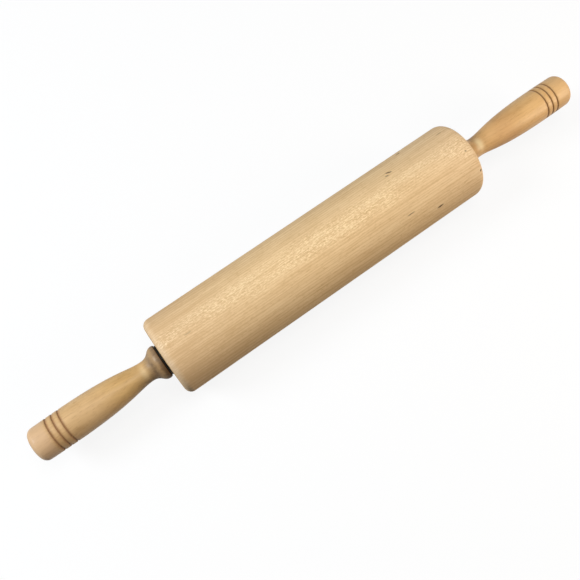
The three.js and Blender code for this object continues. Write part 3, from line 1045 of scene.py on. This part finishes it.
def buildHandles():
    shape = handleShape
    before, behind = shape["insertFit"]
    step = insertLow.x - collarFace - before
    pilotEnd = insertHigh.x - collarFace + behind
    soft = shape["mouthBreak"]
    hole = [
        at(pilotEnd + shape["drillTip"], 0),
        at(pilotEnd, shape["pilot"]),
        at(step, shape["pilot"]),
        at(step, shape["mouth"]),
        at(soft, shape["mouth"]),
        at(0, shape["mouth"] + soft),
    ]
    outline = moved(hole + handleOutside(), collarFace)
    for side, sign in sides.items():
        turn(
            side + "_handle_turned", sided(outline, sign), shape["sides"], side + "Handle",
            "axle_assembly", "handle_maple", [side + "_handle"],
        )


# Axle rod and the threaded inserts
rodShape = {
    "sides": 48,
    "middle": 6.8 * mm,
    "radius": 5.8 * mm,
    "stub": 4.0 * mm,
    "stubChamfer": 1.0 * mm,
    "break": 0.25 * mm,
    "threadPitch": 1.25 * mm,
    "threadDepth": 0.62 * mm,
    "threadRunout": 1.2 * mm,
    "ringSide": 0.2 * mm,  # step to the face of the inner ring
    "insertFit": 0.2 * mm,
}


def buildRod():
    shape = rodShape
    ease = shape["break"]
    step = bearingMiddle - bearingHalf - shape["ringSide"]
    fullEnd = insertLow.x - shape["insertFit"]
    tip = rodHigh.x
    threadStart = fullEnd + shape["threadRunout"]
    threadEnd = tip - shape["stubChamfer"]
    right = [
        at(step - ease, shape["middle"]),
        at(step, shape["middle"] - ease),
        at(step, shape["radius"]),
        at(fullEnd - ease, shape["radius"]),
        at(fullEnd, shape["radius"] - ease),
        at(fullEnd, shape["stub"]),
        *threaded(threadStart, threadEnd, shape["stub"], -shape["threadDepth"], shape["threadPitch"]),
        at(tip, shape["stub"] - shape["stubChamfer"]),
        at(tip, 0),
    ]
    turn(
        "axle_rod_turned", sided(right, -1) + right, shape["sides"], "rodSteel", "axle_assembly", "rod_steel",
        ["axle_rod"], outsidePitch=shape["threadPitch"],
    )


insertShape = {
    "sides": 48,
    "radius": 5.5 * mm,
    "bore": 4.2 * mm,
    "chamfer": 0.5 * mm,
    "knifePitch": 2.6 * mm,
    "knifeDepth": 0.7 * mm,
    "knifeRows": 16,  # to each turn of the outside thread
    "threadDepth": 0.5 * mm,
}


def buildInserts():
    shape = insertShape
    start, end = insertLow.x, insertHigh.x
    chamfer = shape["chamfer"]
    knifeStart, knifeEnd = start + chamfer / 2, end - chamfer / 2
    pitch, depth = shape["knifePitch"], shape["knifeDepth"]
    outline = [
        at(start, shape["bore"] + chamfer),
        at(start, shape["radius"] - chamfer / 2),
        *threaded(knifeStart, knifeEnd, shape["radius"], -depth, pitch, shape["knifeRows"]),
        at(end, shape["radius"] - chamfer / 2),
        at(end, shape["bore"]),
        *threaded(knifeEnd, start + chamfer, shape["bore"], shape["threadDepth"], rodShape["threadPitch"]),
    ]
    for side, sign in sides.items():
        turn(
            side + "_insert_turned", sided(closed(outline), sign), shape["sides"], "insertBrass",
            "axle_assembly", "insert_brass", [side + "_threaded_insert"],
            outsidePitch=pitch, borePitch=rodShape["threadPitch"],
        )


washerShape = {
    "sides": 96,
    "bore": 6.0 * mm,
    "hub": 8.47 * mm,
    "flange": 13.6 * mm,
    "clearance": 0.4 * mm,  # flange to the end of the barrel
    "break": 0.25 * mm,
}


def buildWashers():
    shape = washerShape
    ease = shape["break"]
    steps = making["easeSteps"]
    start, end = washerLow.x, washerHigh.x
    flangeStart = barrelEnd + shape["clearance"]
    outline = [
        at(start, shape["bore"]),
        *arc(start + ease, shape["hub"] - ease, ease, 180, 90, steps),
        at(flangeStart, shape["hub"]),
        *arc(flangeStart + ease, shape["flange"] - ease, ease, 180, 90, steps),
        *arc(end - ease, shape["flange"] - ease, ease, 90, 0, steps),
        at(end, shape["bore"]),
    ]
    for side, sign in sides.items():
        turn(
            side + "_washer_turned", sided(closed(outline), sign), shape["sides"], "washerSteel",
            "axle_assembly", "washer_steel", [side + "_spacer_washer"],
        )


# Ball bearings
bearingShape = {
    "sides": 96,
    "balls": 8,
    "ball": 2.381 * mm,
    "race": 2.631 * mm,
    "pitch": 10.001 * mm,
    "bore": 6.0 * mm,
    "outside": 14.002 * mm,
    "innerShoulder": 8.47 * mm,
    "outerShoulder": 11.532 * mm,
    "chamfer": 0.3 * mm,
    "raceSteps": 18,
    "shieldRadius": 12.532 * mm,
    "shieldThickness": 0.42 * mm,
    "shieldInset": 0.2 * mm,
    "shieldPress": 0.1 * mm,
    "shieldRamp": 0.15 * mm,
    "clearance": 0.4 * mm,
    "fit": 0.2 * mm,
}


def innerRing():
    shape = bearingShape
    half = math.degrees(math.acos((shape["pitch"] - shape["innerShoulder"]) / shape["race"]))
    ease = shape["chamfer"]
    return [
        at(-bearingHalf, shape["bore"] + ease),
        at(-bearingHalf, shape["innerShoulder"] - ease / 2),
        at(ease / 2 - bearingHalf, shape["innerShoulder"]),
        *arc(0, shape["pitch"], shape["race"], 270 - half, 270 + half, shape["raceSteps"]),
        at(bearingHalf - ease / 2, shape["innerShoulder"]),
        at(bearingHalf, shape["innerShoulder"] - ease / 2),
        at(bearingHalf, shape["bore"] + ease),
        at(bearingHalf - ease, shape["bore"]),
        at(ease - bearingHalf, shape["bore"]),
    ]


def outerRing():
    shape = bearingShape
    half = math.degrees(math.acos((shape["outerShoulder"] - shape["pitch"]) / shape["race"]))
    ease = shape["chamfer"]
    seat = bearingHalf - shape["shieldInset"] - shape["shieldThickness"] - shape["fit"]
    return [
        at(-bearingHalf, shape["outside"] - ease),
        at(ease - bearingHalf, shape["outside"]),
        at(bearingHalf - ease, shape["outside"]),
        at(bearingHalf, shape["outside"] - ease),
        at(bearingHalf, shape["shieldRadius"]),
        at(seat, shape["shieldRadius"]),
        at(seat, shape["outerShoulder"]),
        *arc(0, shape["pitch"], shape["race"], 90 - half, 90 + half, shape["raceSteps"]),
        at(-seat, shape["outerShoulder"]),
        at(-seat, shape["shieldRadius"]),
        at(-bearingHalf, shape["shieldRadius"]),
    ]


def shield():  # thin washer, pressed a little inwards over its inner half; its outer face is at 0
    shape = bearingShape
    inner = shape["innerShoulder"] + shape["clearance"]
    outer = shape["shieldRadius"] - shape["fit"]
    bend = (inner + outer) / 2
    ramped = shape["shieldRamp"]
    thick = shape["shieldThickness"]
    press = shape["shieldPress"]
    return [
        at(-thick - press, inner),
        at(-thick - press, bend - ramped),
        at(-thick, bend + ramped),
        at(-thick, outer),
        at(0, outer),
        at(0, bend + ramped),
        at(-press, bend - ramped),
        at(-press, inner),
    ]


def buildBearings():
    shape = bearingShape
    outerShield = moved(shield(), bearingHalf - shape["shieldInset"])
    for side, sign in sides.items():
        middle = (sign * bearingMiddle, 0.0, axisHeight)
        rings = (
            ("outer_ring", outerRing(), "barrel_assembly", "bearing_steel", "bearingSteel"),
            ("inner_ring", innerRing(), "axle_assembly", "bearing_steel", "bearingSteel"),
            ("outer_shield", outerShield, "barrel_assembly", "shield_steel", "shieldSteel"),
            ("inner_shield", sided(outerShield, -1), "barrel_assembly", "shield_steel", "shieldSteel"),
        )
        for part, outline, body, slot, finish in rings:
            outline = sided(moved(closed(outline), bearingMiddle), sign)
            node = side + "_bearing_" + part
            turn(node + "_turned", outline, shape["sides"], finish, body, slot, [node], "bearing")
        balls = [side + "_bearing_ball_" + str(index + 1) for index in range(shape["balls"])]
        values = {
            "Count": shape["balls"], "PitchRadius": shape["pitch"], "Ball": shape["ball"], "Middle": middle,
            "Finish": finishes["bearingSteel"],
        }
        makePiece(
            side + "_bearing_balls", [at(0, 0)], trees["balls"], values,
            side + "_ball_set", balls,
        )
        inner = shape["innerShoulder"] + shape["clearance"]
        outer = shape["outerShoulder"] - shape["clearance"]
        section = [at(cageLow.x, inner), at(cageLow.x, outer), at(cageHigh.x, outer), at(cageHigh.x, inner)]
        values = {
            "Sides": shape["sides"], "AxisHeight": axisHeight, "Count": shape["balls"], "Middle": middle,
            "PitchRadius": shape["pitch"], "Pocket": shape["race"], "Finish": finishes["cagePolymer"],
            "Crease": math.radians(making["crease"]["bearing"]),
        }
        makePiece(
            side + "_bearing_cage_moulded", sided(closed(section), sign), trees["cage"], values,
            side + "_ball_set", [side + "_bearing_cage"],
        )


setCamera()
setStudio()
print("camera, lamps and floor set")
buildBarrel()
buildHandles()
print("maple pieces turned")
buildRod()
buildInserts()
buildWashers()
buildBearings()
print("metal pieces made")

bpy.context.scene.view_settings.view_transform = "Standard"
